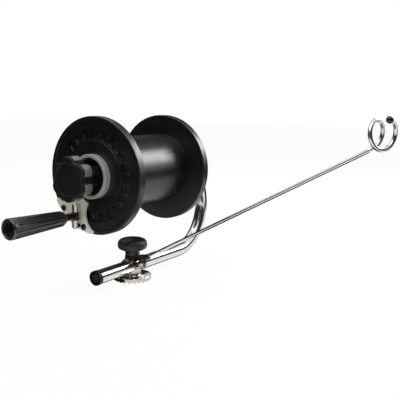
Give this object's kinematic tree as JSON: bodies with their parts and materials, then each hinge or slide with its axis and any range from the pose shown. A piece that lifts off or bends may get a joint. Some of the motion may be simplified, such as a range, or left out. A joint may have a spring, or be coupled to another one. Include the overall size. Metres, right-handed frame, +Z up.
{
  "type": "trolling spool",
  "caption": "Flanged line spool with a folding crank and a drag brake on a bent tube frame, with a toothed mounting clamp and a swinging wire line guide ending in a pigtail eye.",
  "frame": {"origin": "centre of the rosette, in the plane of its tooth tips", "axes": "+X towards the guide rod at rest, +Y along the spool axis towards the tube's bend, +Z up"},
  "size_m": [0.4525, 0.3943, 0.2506],
  "materials": {
    "polished_stainless": "mirror polished",
    "bright_steel": "polished plate",
    "dark_steel": "blackened",
    "matte_aluminium": "matte",
    "spool_plastic": "semi gloss moulded",
    "black_plastic": "fine matte moulded",
    "grip_plastic": "satin moulded",
    "gloss_black": "gloss",
    "bearing_plastic": "plain",
    "friction_lining": "fibrous",
    "brass": "turned"
  },
  "bodies": {
    "frame": {"frame_tube": "polished_stainless", "tube_end_cap": "black_plastic", "rosette": "bright_steel", "clamp_saddle": "bright_steel", "clamp_stud": "bright_steel", "clamp_washer": "black_plastic", "axle_plug": "dark_steel", "brake_stud": "bright_steel", "rear_collar": "bright_steel", "collar_screw": "dark_steel", "pivot_bolt": "dark_steel", "pivot_nut": "bright_steel"},
    "spool": {"drum": "spool_plastic", "near_flange": "spool_plastic", "far_flange": "spool_plastic", "tie_screws": "dark_steel", "near_bush": "bearing_plastic", "far_bush": "bearing_plastic", "brake_cup": "matte_aluminium", "cup_screws": "bright_steel", "friction_disc": "friction_lining", "crank_plate": "bright_steel", "plate_screws": "dark_steel", "hinge_pin": "bright_steel"},
    "crank": {"crank_spindle": "dark_steel", "grip_washer": "dark_steel", "grip_screw": "dark_steel"},
    "grip": {"hand_grip": "grip_plastic"},
    "brake_press": {"pressure_plate": "dark_steel", "pressure_sleeve": "black_plastic", "disc_springs": "bright_steel"},
    "brake_knob": {"brake_knob": "matte_aluminium", "brake_knob_insert": "brass", "brake_knob_cap": "black_plastic"},
    "clamp_knob": {"clamp_knob": "black_plastic", "clamp_knob_insert": "brass"},
    "guide": {"guide_rod": "polished_stainless", "rod_swivel": "black_plastic", "tip_ball": "gloss_black"}
  },
  "joints": [
    {"name": "spool_spin", "type": "hinge", "parent": "frame", "child": "spool", "pos_m": [0, 0, 0.162], "axis": [0, 1, 0], "continuous": true},
    {"name": "crank_fold", "type": "hinge", "parent": "spool", "child": "crank", "pos_m": [-0.02722, -0.0883, 0.10602], "axis": [0, 0, 1], "range_deg": [0, 75]},
    {"name": "grip_spin", "type": "hinge", "parent": "crank", "child": "grip", "pos_m": [-0.02722, -0.15, 0.10602], "axis": [0, 1, 0], "continuous": true},
    {"name": "brake_press_slide", "type": "slide", "parent": "frame", "child": "brake_press", "axis": [0, -1, 0], "range_m": [-0.0003, 0.0016]},
    {"name": "brake_knob_turn", "type": "hinge", "parent": "brake_press", "child": "brake_knob", "pos_m": [0, -0.115, 0.162], "axis": [0, -1, 0], "range_deg": [-60, 360]},
    {"name": "clamp_knob_turn", "type": "hinge", "parent": "frame", "child": "clamp_knob", "pos_m": [0, 0, 0.05], "axis": [0, 0, 1], "continuous": true},
    {"name": "guide_swing", "type": "hinge", "parent": "frame", "child": "guide", "pos_m": [0.019, 0, 0.0325], "axis": [0, 0, 1], "range_deg": [-30, 30]}
  ],
  "couplings": [
    {"joint": "brake_press_slide", "follows": "brake_knob_turn", "m_per_rad": 0.00023873}
  ]
}
